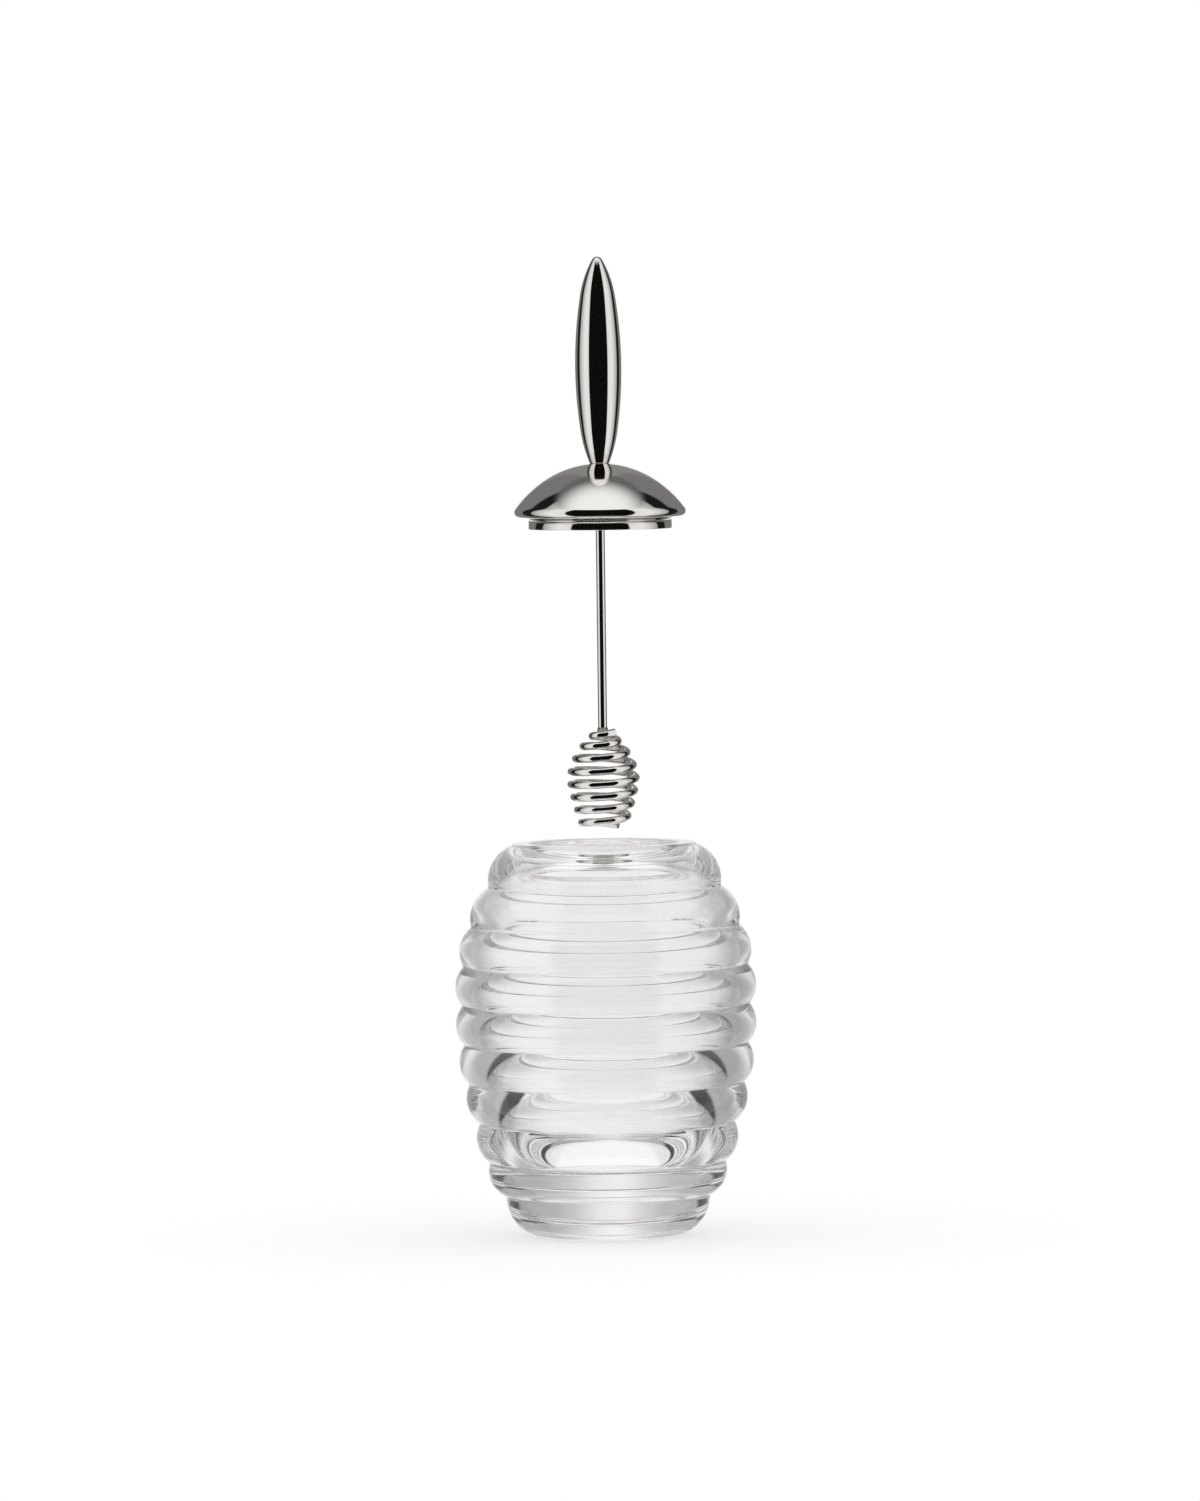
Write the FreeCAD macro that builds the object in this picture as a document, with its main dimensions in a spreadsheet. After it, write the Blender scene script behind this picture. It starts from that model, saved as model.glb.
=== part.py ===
import FreeCAD, Part
import math
import os

import Sketcher

# A honey pot: a ribbed glass jar, and a steel lid that carries a handle above and a wire dipper below.
# Millimetres, +Z up, origin at the centre of the jar's base. The lid is stored lifted clear of the jar.

# Driving dimensions of the glass jar
JAR_SIZES = {
    "jar_height": 122.2,
    "belly_diameter": 93.4,
    "mouth_diameter": 45.8,
    "mouth_round": 1.2,
    "rim_width": 5.6,
    "rim_round": 0.6,
    "neck_height": 5.4,
    "shoulder_height": 13.7,
    "shoulder_bulge": 2.8,
    "rib_bulge": 2.35,
    "low_rib_height": 10.5,
    "foot_height": 12.6,
    "foot_bulge": 3.0,
    "base_diameter": 43.0,
    "wall": 2.0,
    "low_wall": 13.0,
    "roof_bulge": 3.2,
    "floor_height": 22.5,
    "floor_corner": 26.0,
}

# Driving dimensions of the lid, its handle and what clamps them together
LID_SIZES = {
    "shown_lift": 100.9,
    "lid_overhang": 3.8,
    "dome_height": 16.6,
    "dome_edge_height": 2.4,
    "dome_edge_round": 0.5,
    "lip_round": 1.6,
    "sheet": 0.8,
    "plate_thickness": 0.8,
    "plate_clearance": 0.1,
    "mouth_clearance": 0.6,
    "ring_depth": 3.6,
    "ring_wall": 0.8,
    "ring_clearance": 0.1,
    "foot_land": 0.2,
    "handle_length": 64.0,
    "handle_diameter": 14.4,
    "handle_foot_diameter": 6.0,
    "handle_tip_round": 1.8,
    "handle_swell_height": 30.0,
    "thread_depth": 10.0,
    "bore_spare": 1.0,
    "sleeve_diameter": 6.0,
    "washer_diameter": 7.0,
    "washer_thickness": 0.5,
    "nut_across_flats": 5.5,
    "nut_height": 2.0,
}

# Driving dimensions of the dipper
DIPPER_SIZES = {
    "rod_diameter": 2.8,
    "rod_clearance": 0.1,
    "rod_chamfer": 0.3,
    "rod_past_coil": 2.0,
    "wire_diameter": 2.5,
    "wire_to_rod": 0.5,
    "coil_depth": 67.0,
    "coil_diameter": 22.8,
    "coil_end_diameter": 15.2,
    "coil_pitch": 3.97,
    "coil_first_pitch": 2.5,
    "coil_lean": 1.6,
    "bead_height": 3.45,
    "bead_clearance": 0.1,
}

# How far a cutting tool runs past the piece that it cuts
CUT_SIZES = {"overrun": 1.0}

# Groove radii from the shoulder down to the base ring, as shares of the belly's radius
GROOVE_RADIUS_SHARES = (0.772, 0.890, 0.945, 0.954, 0.943, 0.913, 0.847, 0.783, 0.676)
WIDEST_GROOVE = 3
LOW_GROOVE = len(GROOVE_RADIUS_SHARES) - 1
FOOT_GROOVE = len(GROOVE_RADIUS_SHARES)

# Where the handle's outline changes its curve: heights as shares of the run below and above its widest place,
# radii as shares of the way from the foot and of the widest radius
FLARE_HEIGHT_SHARE, FLARE_RADIUS_SHARE = 0.333, 0.655
NOSE_HEIGHT_SHARE, NOSE_RADIUS_SHARE = 0.647, 0.757

# The coil in counts of turns, from its brazed top end down
COIL_TURNS = 7.64
WRAP_TURNS = 0.33
WIDEST_TURN = 4.0
EASING_TURNS = 2.0
TAPER_POWER = 1.3
TOP_END_ANGLE = math.radians(-60)
SLOPE_STEP = 1e-4
POINTS_PER_ARC = 12

FULL_TURN = 360
HEX_SIDES = 6

doc = FreeCAD.newDocument("honey_pot")
sheet = doc.addObject("Spreadsheet::Sheet", "Sizes")


def bulge_round(start, end, bulge):
    """Formula for the radius of an arc that stands a bulge proud of the chord between two places."""
    run = f"({start[0]} - {end[0]})^2"
    rise = f"({start[1]} - {end[1]})^2"
    return f"(({run} + {rise}) / 4 + {bulge}^2) / (2 * {bulge})"


def groove(number):
    """Names of the radius and height of one of the jar's grooves. The last one is the top of the foot."""
    height = "foot_height" if number == FOOT_GROOVE else f"groove_{number}_height"
    return f"groove_{number}_radius", height


def jar_formulas():
    """Worked-out places on the jar's outline."""
    rib_room = "jar_height - shoulder_height - low_rib_height - foot_height"
    formulas = {
        "mouth_radius": "mouth_diameter / 2",
        "mouth_flat_radius": "mouth_radius + mouth_round",
        "mouth_edge_height": "jar_height - mouth_round",
        "rim_radius": "mouth_radius + rim_width",
        "rim_flat_radius": "rim_radius - rim_round",
        "rim_edge_height": "jar_height - rim_round",
        "neck_end_height": "jar_height - neck_height",
        "base_radius": "base_diameter / 2",
        "rib_pitch": f"({rib_room}) / {LOW_GROOVE - 1}",
    }
    for number, share in enumerate(GROOVE_RADIUS_SHARES, 1):
        radius, height = groove(number)
        formulas[radius] = f"belly_diameter / 2 * {share}"
        if number < FOOT_GROOVE:
            formulas[height] = f"foot_height + low_rib_height + rib_pitch * {LOW_GROOVE - number}"
            formulas[f"rib_{number}_round"] = bulge_round(groove(number), groove(number + 1), "rib_bulge")
    top, (belly_radius, belly_height), (low_radius, low_height) = map(groove, (1, WIDEST_GROOVE, LOW_GROOVE))
    formulas["shoulder_round"] = bulge_round(("rim_radius", "rim_edge_height"), top, "shoulder_bulge")
    formulas["foot_round"] = bulge_round(groove(FOOT_GROOVE), ("base_radius", "0"), "foot_bulge")
    formulas["inner_belly_radius"] = f"{belly_radius} - wall"
    formulas["inner_top_radius"] = f"{top[0]} - wall"
    formulas["upper_drop"] = "inner_belly_radius - inner_top_radius"
    formulas["upper_round"] = f"(({top[1]} - {belly_height})^2 + upper_drop^2) / (2 * upper_drop)"
    formulas["lower_drop"] = f"inner_belly_radius - {low_radius} + low_wall"
    formulas["lower_round"] = f"(({belly_height} - {low_height})^2 + lower_drop^2) / (2 * lower_drop)"
    formulas["lower_centre"] = "inner_belly_radius - lower_round"
    formulas["corner_drop"] = f"{belly_height} - floor_height - floor_corner"
    formulas["corner_reach"] = "sqrt((lower_round - floor_corner)^2 - corner_drop^2)"
    formulas["corner_ratio"] = "lower_round / (lower_round - floor_corner)"
    formulas["floor_radius"] = "lower_centre + corner_reach"
    formulas["bowl_radius"] = "lower_centre + corner_reach * corner_ratio"
    formulas["bowl_height"] = f"{belly_height} - corner_drop * corner_ratio"
    roof_ends = (("inner_top_radius", top[1]), ("mouth_radius", "neck_end_height"))
    formulas["roof_round"] = bulge_round(*roof_ends, "roof_bulge")
    return formulas


def lid_formulas():
    """Worked-out places on the lid, measured up from its seat on the rim, and on the handle from its foot."""
    return {
        "seat_height": "jar_height + shown_lift",
        "hole_radius": "rod_diameter / 2 + rod_clearance",
        "ring_radius": "mouth_radius - mouth_clearance",
        "flange_radius": "ring_radius + ring_clearance",
        "lid_radius": "mouth_radius + lid_overhang",
        "lip_radius": "lid_radius - lip_round",
        "lip_inner_round": "lip_round - sheet",
        "land_radius": "handle_foot_diameter / 2 + foot_land",
        "dome_rise": "dome_height - dome_edge_height",
        "dome_square": "land_radius^2 - lid_radius^2 + dome_height^2 - dome_edge_height^2",
        "dome_centre": "dome_square / (2 * dome_rise)",
        "dome_round": "sqrt(land_radius^2 + (dome_height - dome_centre)^2)",
        "dome_inner_round": "dome_round - sheet",
        "dome_inner_height": "dome_height - sheet",
        "dome_inner_radius": "lid_radius - sheet",
        "inner_edge_height": "dome_centre + sqrt(dome_inner_round^2 - dome_inner_radius^2)",
        "inner_land_radius": "sqrt(dome_inner_round^2 - (dome_inner_height - dome_centre)^2)",
        "grip_radius": "handle_diameter / 2",
        "grip_foot_radius": "handle_foot_diameter / 2",
        "flare_radius": f"grip_foot_radius + (grip_radius - grip_foot_radius) * {FLARE_RADIUS_SHARE}",
        "flare_height": f"handle_swell_height * {FLARE_HEIGHT_SHARE}",
        "swell_drop": "grip_radius - flare_radius",
        "swell_rise": "handle_swell_height - flare_height",
        "swell_round": "(swell_rise^2 + swell_drop^2) / (2 * swell_drop)",
        "flare_run": "flare_radius - grip_foot_radius",
        "flare_lean": "(flare_run * (swell_round - swell_drop) - flare_height * swell_rise) / swell_round",
        "flare_round": "(flare_run^2 + flare_height^2) / (2 * flare_lean)",
        "nose_radius": f"grip_radius * {NOSE_RADIUS_SHARE}",
        "nose_height": f"handle_swell_height + (handle_length - handle_swell_height) * {NOSE_HEIGHT_SHARE}",
        "taper_drop": "grip_radius - nose_radius",
        "taper_rise": "nose_height - handle_swell_height",
        "taper_round": "(taper_rise^2 + taper_drop^2) / (2 * taper_drop)",
        "tip_centre_height": "handle_length - handle_tip_round",
        "tip_rise": "tip_centre_height - nose_height",
        "nose_lean": "(nose_radius * (taper_round - taper_drop) - tip_rise * taper_rise) / taper_round",
        "nose_square": "nose_radius^2 + tip_rise^2 - handle_tip_round^2",
        "nose_round": "nose_square / (2 * (nose_lean - handle_tip_round))",
        "nose_centre_radius": "nose_radius - nose_round * (taper_round - taper_drop) / taper_round",
        "nose_centre_height": "nose_height - nose_round * taper_rise / taper_round",
        "tip_ratio": "handle_tip_round / (nose_round - handle_tip_round)",
        "tip_edge_radius": "-nose_centre_radius * tip_ratio",
        "tip_edge_height": "tip_centre_height + (tip_centre_height - nose_centre_height) * tip_ratio",
        "bore_depth": "thread_depth + bore_spare",
    }


def dipper_formulas():
    """Worked-out sizes of the rod, the bead and the coil."""
    return {
        "rod_radius": "rod_diameter / 2",
        "rod_end_radius": "rod_radius - rod_chamfer",
        "rod_drop": "coil_depth + rod_past_coil",
        "rod_length": "rod_drop + dome_height + thread_depth",
        "rod_top_edge": "rod_length - rod_chamfer",
        "wire_radius": "wire_diameter / 2",
        "coil_wrap_radius": "rod_radius + wire_to_rod + wire_radius",
        "coil_widest_radius": "coil_diameter / 2 - wire_radius",
        "coil_end_radius": "coil_end_diameter / 2 - wire_radius",
        "coil_slope": "coil_lean / coil_diameter",
        "bead_drop": "rod_drop - rod_chamfer",
        "bead_inner_radius": "rod_radius + bead_clearance",
        "bead_top_radius": "bead_inner_radius + bead_clearance",
        "bead_radius": "coil_wrap_radius - wire_radius - bead_clearance",
    }


def fill_sheet():
    """Write the driving dimensions, then the worked-out ones, one named cell to a row."""
    rows = {}
    for sizes in (JAR_SIZES, LID_SIZES, DIPPER_SIZES, CUT_SIZES):
        rows.update({name: str(number) for name, number in sizes.items()})
    for formulas in (jar_formulas(), lid_formulas(), dipper_formulas()):
        rows.update({name: "=" + formula for name, formula in formulas.items()})
    for row, (name, content) in enumerate(rows.items(), 1):
        sheet.set(f"A{row}", name)
        sheet.set(f"B{row}", content)
        sheet.setAlias(f"B{row}", name)
    doc.recompute()


def size(name):
    """A size from the sheet, or zero for a place on the axis or on the base plane."""
    return float(sheet.get(name)) if name else 0.0


def arc_middle(start, end, radius, turn):
    """Middle of the short arc from start to end that turns left (1) or right (-1)."""
    chord = end - start
    rise = radius - math.sqrt(radius**2 - (chord.Length / 2) ** 2)
    outward = FreeCAD.Vector(chord.y, -chord.x, 0) / chord.Length
    return (start + end) / 2 + outward * rise * turn


def nearer_end(sketch, edge, point):
    """Which end of a sketch edge, 1 or 2, lies at a point."""
    return min((1, 2), key=lambda end: sketch.getPoint(edge, end).distanceToPoint(point))


def bind(sketch, kind, where, name):
    """Add a driving constraint whose value is a cell of the sheet."""
    index = sketch.addConstraint(Sketcher.Constraint(kind, *where, size(name)))
    sketch.setExpression(f"Constraints[{index}]", f"Sizes.{name}")


def draw_outline(sketch, corners):
    """Draw a closed outline. A corner is (radius, height), with a round and a turn if an arc leads to it."""
    points = [FreeCAD.Vector(size(corner[0]), size(corner[1]), 0) for corner in corners]
    for edge, corner in enumerate(corners):
        start, end = points[edge - 1], points[edge]
        if len(corner) == 2:
            sketch.addGeometry(Part.LineSegment(start, end))
        else:
            sketch.addGeometry(Part.Arc(start, arc_middle(start, end, size(corner[2]), corner[3]), end))
    for edge, corner in enumerate(corners):
        after = (edge + 1) % len(corners)
        place = (edge, nearer_end(sketch, edge, points[edge]))
        joined = (after, nearer_end(sketch, after, points[edge]))
        sketch.addConstraint(Sketcher.Constraint("Coincident", *place, *joined))
        for kind, axis, name in (("DistanceX", -2, corner[0]), ("DistanceY", -1, corner[1])):
            if name:
                bind(sketch, kind, place, name)
            else:
                sketch.addConstraint(Sketcher.Constraint("PointOnObject", *place, axis))
        if len(corner) > 2:
            bind(sketch, "Radius", (edge,), corner[2])


def turned_piece(label, corners, height):
    """A piece spun round the Z axis from a half outline, with its zero height placed by a formula."""
    body = doc.addObject("PartDesign::Body", label)
    sketch = body.newObject("Sketcher::SketchObject", label + "_outline")
    plane = next(feature for feature in body.Origin.OriginFeatures if feature.Role == "XZ_Plane")
    sketch.AttachmentSupport = (plane, [""])
    sketch.MapMode = "FlatFace"
    draw_outline(sketch, corners)
    spin = body.newObject("PartDesign::Revolution", label + "_spin")
    spin.Profile = sketch
    spin.ReferenceAxis = (sketch, ["V_Axis"])
    spin.Angle = FULL_TURN
    body.setExpression("Placement.Base.z", height)
    doc.recompute()
    return body


def bored_piece(label, blank, length, height):
    """A tube, disc or nut: a blank cut through by the hole that the rod or the mouth of a ring needs."""
    piece = doc.addObject("Part::Cut", label)
    blank.setExpression("Height", length)
    bore = doc.addObject("Part::Cylinder", label + "_bore")
    bore.setExpression("Radius", "Sizes.hole_radius")
    bore.setExpression("Height", f"{length} + 2 * Sizes.overrun")
    bore.setExpression("Placement.Base.z", "-Sizes.overrun")
    piece.Base = blank
    piece.Tool = bore
    piece.setExpression("Placement.Base.z", height)
    return piece


def round_blank(label, radius):
    """A cylinder to cut a tube or a disc from."""
    blank = doc.addObject("Part::Cylinder", label + "_blank")
    blank.setExpression("Radius", radius)
    return blank


def make_jar():
    """The glass jar: a smooth bowl inside, grooved tiers outside, thick towards the base."""
    inside = [
        (None, "floor_height"),
        ("floor_radius", "floor_height"),
        ("bowl_radius", "bowl_height", "floor_corner", 1),
        ("inner_belly_radius", groove(WIDEST_GROOVE)[1], "lower_round", 1),
        ("inner_top_radius", groove(1)[1], "upper_round", 1),
        ("mouth_radius", "neck_end_height", "roof_round", 1),
        ("mouth_radius", "mouth_edge_height"),
        ("mouth_flat_radius", "jar_height", "mouth_round", -1),
    ]
    outside = [
        ("rim_flat_radius", "jar_height"),
        ("rim_radius", "rim_edge_height", "rim_round", -1),
        (*groove(1), "shoulder_round", -1),
    ]
    for number in range(1, FOOT_GROOVE):
        outside.append((*groove(number + 1), f"rib_{number}_round", -1))
    outside.append(("base_radius", None, "foot_round", -1))
    outside.append((None, None))
    return turned_piece("glass_jar", inside + outside, "0")


def make_dome():
    """The pressed dome, rolled in at its rim to a flange that sits on the jar."""
    corners = [
        ("hole_radius", "dome_height"),
        ("land_radius", "dome_height"),
        ("lid_radius", "dome_edge_height", "dome_round", -1),
        ("lid_radius", "lip_round"),
        ("lip_radius", None, "lip_round", -1),
        ("flange_radius", None),
        ("flange_radius", "sheet"),
        ("lip_radius", "sheet"),
        ("dome_inner_radius", "lip_round", "lip_inner_round", 1),
        ("dome_inner_radius", "inner_edge_height"),
        ("inner_land_radius", "dome_inner_height", "dome_inner_round", 1),
        ("hole_radius", "dome_inner_height"),
    ]
    body = turned_piece("lid_dome", corners, "Sizes.seat_height")
    spun = body.Tip
    edge_height = size("dome_edge_height")
    rim = FreeCAD.Vector(size("lid_radius"), 0, edge_height)
    nearest = min(spun.Shape.Edges, key=lambda edge: edge.distToShape(Part.Vertex(rim))[0])
    number = next(n for n, edge in enumerate(spun.Shape.Edges, 1) if edge.isSame(nearest))
    softened = body.newObject("PartDesign::Fillet", "lid_dome_edge")
    softened.Base = (spun, [f"Edge{number}"])
    softened.setExpression("Radius", "Sizes.dome_edge_round")
    return body


def make_lid_inside():
    """The plate that closes the dome, the ring that finds the mouth, and what clamps the lid to the rod."""
    seat = "Sizes.seat_height"
    plate_top = f"{seat} + Sizes.sheet + Sizes.plate_thickness"
    sleeve_length = "Sizes.dome_inner_height - Sizes.sheet - Sizes.plate_thickness"
    washer_bottom = f"{seat} + Sizes.sheet - Sizes.washer_thickness"
    ring_length = "Sizes.ring_depth + Sizes.sheet"

    plate = round_blank("lid_plate", "Sizes.lip_radius - Sizes.plate_clearance")
    sleeve = round_blank("spacer_sleeve", "Sizes.sleeve_diameter / 2")
    washer = round_blank("clamp_washer", "Sizes.washer_diameter / 2")
    nut = doc.addObject("Part::Prism", "clamp_nut_blank")
    nut.Polygon = HEX_SIDES
    nut.setExpression("Circumradius", "Sizes.nut_across_flats / sqrt(3)")
    ring = bored_piece("locating_ring", round_blank("locating_ring", "Sizes.ring_radius"), ring_length,
                       f"{seat} - Sizes.ring_depth")
    ring.Tool.setExpression("Radius", "Sizes.ring_radius - Sizes.ring_wall")
    return [
        bored_piece("lid_plate", plate, "Sizes.plate_thickness", f"{seat} + Sizes.sheet"),
        ring,
        bored_piece("spacer_sleeve", sleeve, sleeve_length, plate_top),
        bored_piece("clamp_washer", washer, "Sizes.washer_thickness", washer_bottom),
        bored_piece("clamp_nut", nut, "Sizes.nut_height", f"{washer_bottom} - Sizes.nut_height"),
    ]


def make_handle():
    """The turned spindle, drilled from its foot for the rod's thread."""
    corners = [
        ("hole_radius", None),
        ("grip_foot_radius", None),
        ("flare_radius", "flare_height", "flare_round", 1),
        ("grip_radius", "handle_swell_height", "swell_round", 1),
        ("nose_radius", "nose_height", "taper_round", 1),
        ("tip_edge_radius", "tip_edge_height", "nose_round", 1),
        (None, "handle_length", "handle_tip_round", 1),
        (None, "bore_depth"),
        ("hole_radius", "bore_depth"),
    ]
    return turned_piece("handle", corners, "Sizes.seat_height + Sizes.dome_height")


def make_rod():
    """The straight rod, from inside the handle down through the coil's first turn."""
    corners = [
        (None, None),
        ("rod_end_radius", None),
        ("rod_radius", "rod_chamfer"),
        ("rod_radius", "rod_top_edge"),
        ("rod_end_radius", "rod_length"),
        (None, "rod_length"),
    ]
    return turned_piece("dipper_rod", corners, "Sizes.seat_height - Sizes.rod_drop")


def make_bead():
    """The bead of braze between the rod's end and the coil's first turn."""
    corners = [
        ("bead_inner_radius", None),
        ("bead_radius", None),
        ("bead_top_radius", "bead_height"),
        ("bead_inner_radius", "bead_height"),
    ]
    return turned_piece("braze_bead", corners, "Sizes.seat_height - Sizes.bead_drop")


def coil_radius(turn):
    """Radius of the coil's centre line: close round the rod, out to the widest turn, then drawn in."""
    wrap, widest, end = size("coil_wrap_radius"), size("coil_widest_radius"), size("coil_end_radius")
    if turn <= WRAP_TURNS:
        return wrap
    if turn <= WIDEST_TURN:
        opening = (turn - WRAP_TURNS) / (WIDEST_TURN - WRAP_TURNS)
        return wrap + (widest - wrap) * math.sin(opening * math.pi / 2)
    closing = (turn - WIDEST_TURN) / (COIL_TURNS - WIDEST_TURN)
    return widest + (end - widest) * closing**TAPER_POWER


def coil_drop(turn):
    """Depth of the coil's centre line below its top end: the pitch eases out over the first turns."""
    first, full = size("coil_first_pitch"), size("coil_pitch")
    eased = min(turn, EASING_TURNS)
    return first * eased + (full - first) * eased**2 / (2 * EASING_TURNS) + full * (turn - eased)


def coil_point(turn):
    """Place on the centre line: down by the right, front, left and back, and a little higher at the back."""
    angle = TOP_END_ANGLE - turn * 2 * math.pi
    right, back = coil_radius(turn) * math.cos(angle), coil_radius(turn) * math.sin(angle)
    return FreeCAD.Vector(right, back, back * size("coil_slope") - coil_drop(turn))


def coil_heading(turn):
    """Direction of the wire at a place on the centre line."""
    heading = coil_point(turn + SLOPE_STEP) - coil_point(turn - SLOPE_STEP)
    return heading.normalize()


def tangent_arc(start, corner, end):
    """The arc that leaves start towards corner and reaches end coming from corner."""
    chord_middle = (start + end) / 2
    tangent, height = (corner - start).Length, (corner - chord_middle).Length
    radius = tangent * (end - start).Length / (2 * height)
    inset = math.sqrt(radius**2 + tangent**2) - radius
    return Part.Arc(start, corner + (chord_middle - corner) * (inset / height), end)


def biarc(start, start_heading, end, end_heading):
    """Two arcs that join two places, each arc tangent to the heading at its place and to the other arc."""
    span, headings = end - start, start_heading + end_heading
    spread = 2 * (1 - start_heading.dot(end_heading))
    along = span.dot(headings)
    reach = (math.sqrt(along**2 + spread * span.dot(span)) - along) / spread
    first_corner, last_corner = start + start_heading * reach, end - end_heading * reach
    middle = (first_corner + last_corner) / 2
    return [tangent_arc(start, first_corner, middle), tangent_arc(middle, last_corner, end)]


def coil_path():
    """Edges of the wire's centre line: the turns as quarter-turn biarcs between two straight ends."""
    steps = math.ceil(4 * COIL_TURNS)
    turns = [COIL_TURNS * step / steps for step in range(steps + 1)]
    places = [(coil_point(turn), coil_heading(turn)) for turn in turns]
    straight = size("wire_diameter")
    (top, top_heading), (low, low_heading) = places[0], places[-1]
    curves = [Part.LineSegment(top - top_heading * straight, top)]
    for start, end in zip(places, places[1:]):
        curves += biarc(*start, *end)
    curves.append(Part.LineSegment(low, low + low_heading * straight))
    return [curve.toShape() for curve in curves]


def least_gap(edges):
    """Clear distance between neighbouring turns, measured on points along the centre line."""
    points = [point for edge in edges for point in edge.discretize(POINTS_PER_ARC)[1:]]
    travelled = [0.0]
    for before, after in zip(points, points[1:]):
        travelled.append(travelled[-1] + before.distanceToPoint(after))
    apart = math.pi * size("wire_diameter")
    distances = (
        points[i].distanceToPoint(points[j])
        for i in range(len(points))
        for j in range(i)
        if travelled[i] - travelled[j] > apart
    )
    return min(distances) - size("wire_diameter")


def make_coil():
    """The dipper's coil: one unbroken wire swept along its centre line."""
    edges = coil_path()
    path = Part.Wire(edges)
    start, heading = edges[0].firstVertex().Point, edges[0].tangentAt(edges[0].FirstParameter)
    section = Part.Wire(Part.Circle(start, heading, size("wire_radius")).toShape())
    coil = doc.addObject("Part::Feature", "dipper_coil")
    coil.Shape = path.makePipeShell([section], True, False)
    coil.setExpression("Placement.Base.z", "Sizes.seat_height - Sizes.coil_depth")
    swept = math.pi * size("wire_radius") ** 2 * path.Length
    tightest = min(edge.Curve.Radius for edge in edges[1:-1])
    print(f"coil: wire {path.Length:.1f} mm, tightest arc {tightest:.2f}, least gap {least_gap(edges):.2f}")
    print(f"coil: volume {coil.Shape.Volume:.1f}, section times length {swept:.1f} cubic mm")
    return coil


def check_all(pieces):
    """Stop if any object failed to compute or any piece isn't one valid solid."""
    for item in doc.Objects:
        if {"Invalid", "Error"} & set(item.State):
            raise RuntimeError(f"{item.Label} failed: {item.State}")
    for piece in pieces:
        if piece.Shape.isNull() or not piece.Shape.isValid() or len(piece.Shape.Solids) != 1:
            raise RuntimeError(f"{piece.Label} is not one valid solid")


fill_sheet()
pieces = [make_jar(), make_dome(), *make_lid_inside(), make_handle(), make_rod(), make_bead(), make_coil()]
doc.recompute()
check_all(pieces)
os.makedirs("parts", exist_ok=True)
for piece in pieces:
    piece.Shape.exportStep(f"parts/{piece.Label}.step")
    box = piece.Shape.BoundBox
    print(f"{piece.Label}: volume {piece.Shape.Volume:.1f}, height {box.ZMin:.2f} to {box.ZMax:.2f}")
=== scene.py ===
# %% [markdown]
# A honey pot in three groups: a ribbed jar of clear pressed glass, a domed steel lid with a slim spindle
# handle, and a dipper (a rod with a wound wire coil) that hangs from the lid into the honey.
# The measured model is loaded first. It says where every piece is, in metres, with +Z up and the viewer at
# -Y. Seven of its pieces are drawn again below, finer than the measured solids, and stand for them.

# %% Load the measured model
import cmath
import math

import bmesh
import bpy
from mathutils import Matrix, Vector


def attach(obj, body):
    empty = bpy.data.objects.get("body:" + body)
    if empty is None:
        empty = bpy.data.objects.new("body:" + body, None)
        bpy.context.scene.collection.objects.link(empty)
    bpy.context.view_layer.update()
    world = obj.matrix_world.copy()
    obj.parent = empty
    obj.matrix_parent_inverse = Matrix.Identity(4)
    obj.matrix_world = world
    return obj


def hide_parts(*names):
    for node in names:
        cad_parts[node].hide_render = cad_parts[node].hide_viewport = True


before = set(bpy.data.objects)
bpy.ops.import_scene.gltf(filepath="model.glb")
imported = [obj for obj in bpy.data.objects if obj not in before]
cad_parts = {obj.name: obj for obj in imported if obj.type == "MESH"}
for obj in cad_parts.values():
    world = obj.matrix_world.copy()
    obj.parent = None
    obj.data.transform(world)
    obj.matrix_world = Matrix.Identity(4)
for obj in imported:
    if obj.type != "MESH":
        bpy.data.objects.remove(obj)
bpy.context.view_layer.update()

# %% [markdown]
# The camera comes early, because it decides how much of each surface is seen. The picture was taken from far
# away with a long lens: the lid is seen almost from the side, and the jar's base from about five degrees
# above. A distance of three and a half metres gives both at once. The picture is 1501 pixels high and each
# pixel covers about 0.31 mm of the pot, so the lens follows from the distance.

# %% Camera
MM = 0.001
VIEW_DISTANCE = 3.5
VIEW_ELEVATION, VIEW_ROLL = math.radians(2.5), math.radians(0.7)
VIEW_TARGET = Vector((-0.0009, 0, 0.1507))
PICTURE_PIXELS, PIXEL_SIZE = 1501, 0.31 * MM

camera_data = bpy.data.cameras.new("camera")
camera_data.lens = camera_data.sensor_width * VIEW_DISTANCE / (PICTURE_PIXELS * PIXEL_SIZE)
camera = bpy.data.objects.new("camera", camera_data)
bpy.context.scene.collection.objects.link(camera)
backward = Vector((0, -math.cos(VIEW_ELEVATION), math.sin(VIEW_ELEVATION)))
camera.location = VIEW_TARGET + backward * VIEW_DISTANCE
aim = (-backward).to_track_quat("-Z", "Y").to_matrix().to_4x4()
camera.matrix_world = Matrix.Translation(camera.location) @ aim @ Matrix.Rotation(-VIEW_ROLL, 4, "Z")
bpy.context.scene.camera = camera
print(f"camera: {camera_data.lens:.0f} mm lens at {VIEW_DISTANCE} m")

# %% [markdown]
# The studio, the materials and the coil are built from nodes. Two small helpers keep that readable. One turns
# a web colour into the linear numbers that shaders use. The other adds a node of any kind and fills its
# inputs, listed in order or by name, so that a line of code says all that the node does. A node that is
# given as an input stands for its first output.

# %% Helpers for nodes
def srgb(code):
    """A web colour such as #d0d0d0 as linear red, green, blue and alpha."""
    shares = [int(code[i : i + 2], 16) / 255 for i in (1, 3, 5)]
    return [s / 12.92 if s <= 0.04045 else ((s + 0.055) / 1.055) ** 2.4 for s in shares] + [1.0]


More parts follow.
